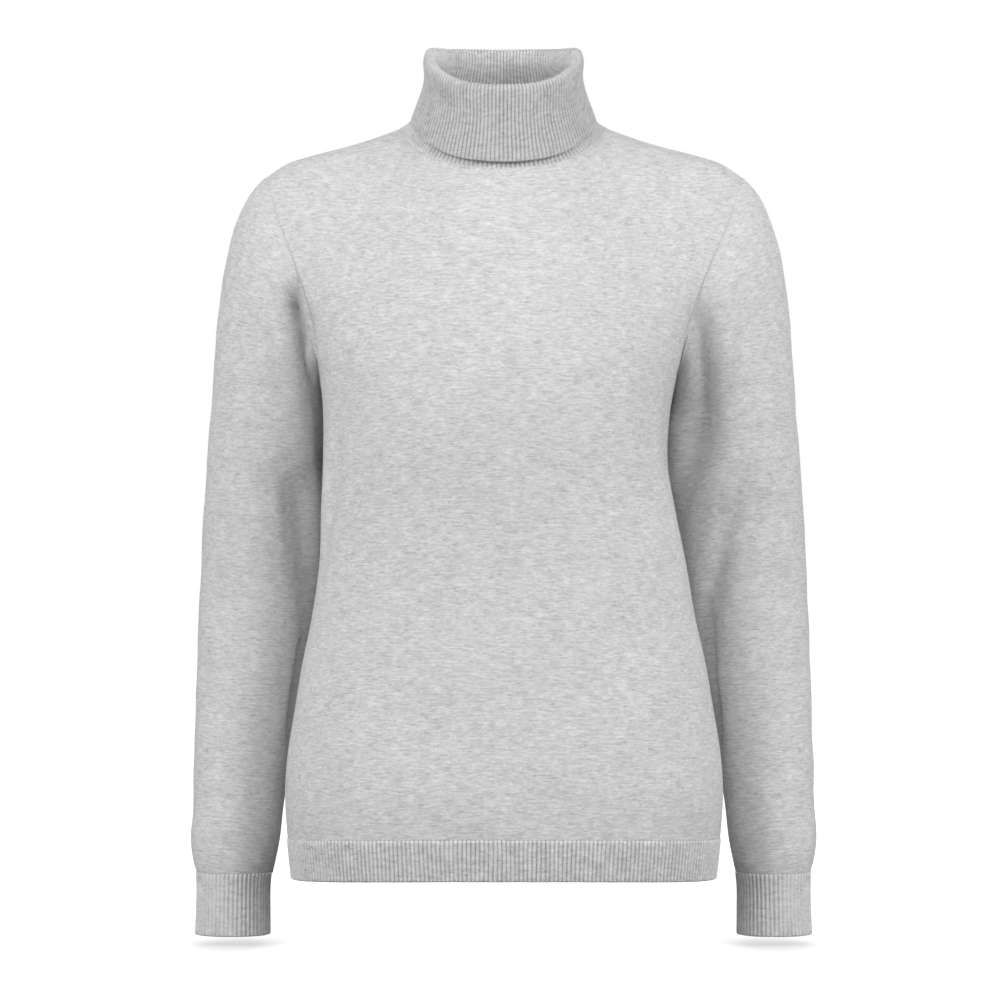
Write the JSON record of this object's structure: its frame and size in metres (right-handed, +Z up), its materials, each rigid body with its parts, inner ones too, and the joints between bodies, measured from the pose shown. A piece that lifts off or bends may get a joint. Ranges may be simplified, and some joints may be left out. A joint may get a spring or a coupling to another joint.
{
  "type": "turtleneck sweater",
  "caption": "Long-sleeved fine-knit sweater in worn form, with a turned-down rib collar, rib cuffs and a rib hem; hollow, with the neck, hem and cuffs open.",
  "frame": {"origin": "centre of the neck base, level with the highest points of the shoulders, where the wearer holds the sweater up", "axes": "+Z up from the hem to the collar, +X towards the wearer's left sleeve, the front facing -Y"},
  "size_m": [0.5404, 0.2341, 0.7702],
  "materials": {
    "jersey_knit": "soft matt melange yarn in fine plain knit",
    "rib_knit": "soft matt melange yarn in fine one-by-one rib"
  },
  "bodies": {
    "root": {"front": "jersey_knit", "back": "jersey_knit", "sleeve_left": "jersey_knit", "sleeve_right": "jersey_knit", "collar": "rib_knit", "hem_rib_front": "rib_knit", "hem_rib_back": "rib_knit", "cuff_left": "rib_knit", "cuff_right": "rib_knit"}
  },
  "joints": []
}
